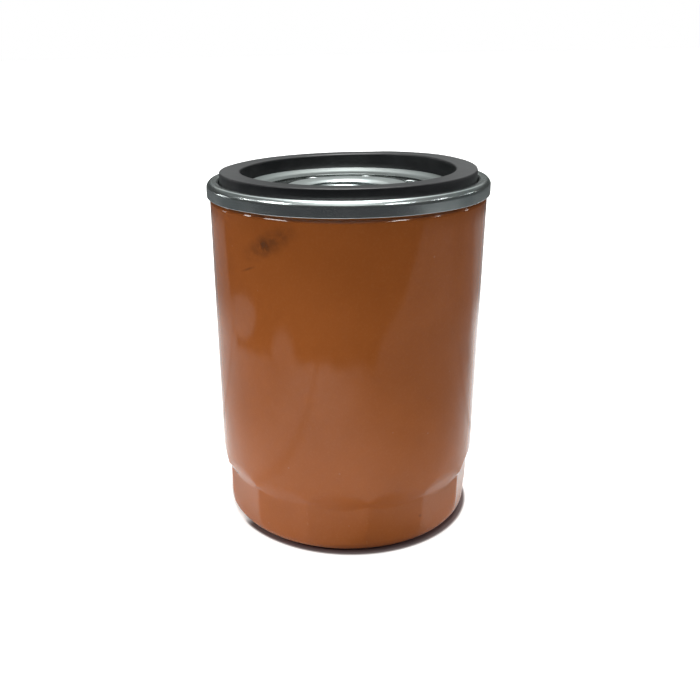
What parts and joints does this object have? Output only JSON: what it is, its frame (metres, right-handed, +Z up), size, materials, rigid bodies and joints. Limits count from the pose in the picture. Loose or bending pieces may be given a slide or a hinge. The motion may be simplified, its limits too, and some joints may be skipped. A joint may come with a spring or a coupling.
{
  "type": "spin-on oil filter",
  "caption": "Spin-on oil filter for a small engine: painted round can with wrench flats, rolled plated rim, flat rubber gasket and a threaded base plate over a pleated cartridge.",
  "frame": {"origin": "centre of the plane that the closed end rests on", "axes": "+Z up the filter's axis from the closed end to the thread and gasket; one wrench flat faces -Y"},
  "size_m": [0.0684, 0.0682, 0.089],
  "materials": {
    "orange_paint": "gloss burnt-orange enamel",
    "zinc_plate": "bright zinc plate",
    "seam_compound": "matt sealing compound",
    "gasket_rubber": "satin black moulded rubber",
    "valve_rubber": "matt black moulded rubber",
    "tinplate": "pressed tinplate",
    "potting_resin": "cast amber resin",
    "filter_paper": "cured resin-coated paper",
    "spring_steel": "drawn spring wire"
  },
  "bodies": {
    "housing": {"can": "orange_paint", "seaming_lid": "zinc_plate", "seam_compound": "seam_compound", "sealing_gasket": "gasket_rubber", "base_plate": "zinc_plate", "valve_support_ring": "tinplate", "element_spring": "spring_steel"},
    "drainback_valve": {"antidrainback_valve": "valve_rubber"},
    "cartridge": {"upper_end_cap": "tinplate", "upper_potting": "potting_resin", "pleated_media": "filter_paper", "media_seam_clip": "tinplate", "center_tube": "tinplate", "lower_potting": "potting_resin", "lower_end_cap": "tinplate", "bypass_seat_gasket": "gasket_rubber", "bypass_housing": "tinplate", "bypass_spring": "spring_steel", "spring_cup": "tinplate"},
    "bypass_valve": {"bypass_poppet": "zinc_plate", "bypass_stem_clip": "spring_steel"}
  },
  "joints": [
    {"name": "cartridge_float", "type": "slide", "parent": "housing", "child": "cartridge", "axis": [0, 0, -1], "range_m": [0, 0.002], "stiffness_N_per_m": 3000, "springref_m": -0.004, "deforming": ["element_spring"]},
    {"name": "bypass_lift", "type": "slide", "parent": "cartridge", "child": "bypass_valve", "axis": [0, 0, 1], "range_m": [0, 0.003], "stiffness_N_per_m": 800, "springref_m": -0.006, "deforming": ["bypass_spring"]},
    {"name": "drainback_flex", "type": "slide", "parent": "housing", "child": "drainback_valve", "axis": [0, 0, -1], "range_m": [0, 0.0012], "stiffness_N_per_m": 400, "springref_m": -0.001, "deforming": ["antidrainback_valve"]}
  ]
}
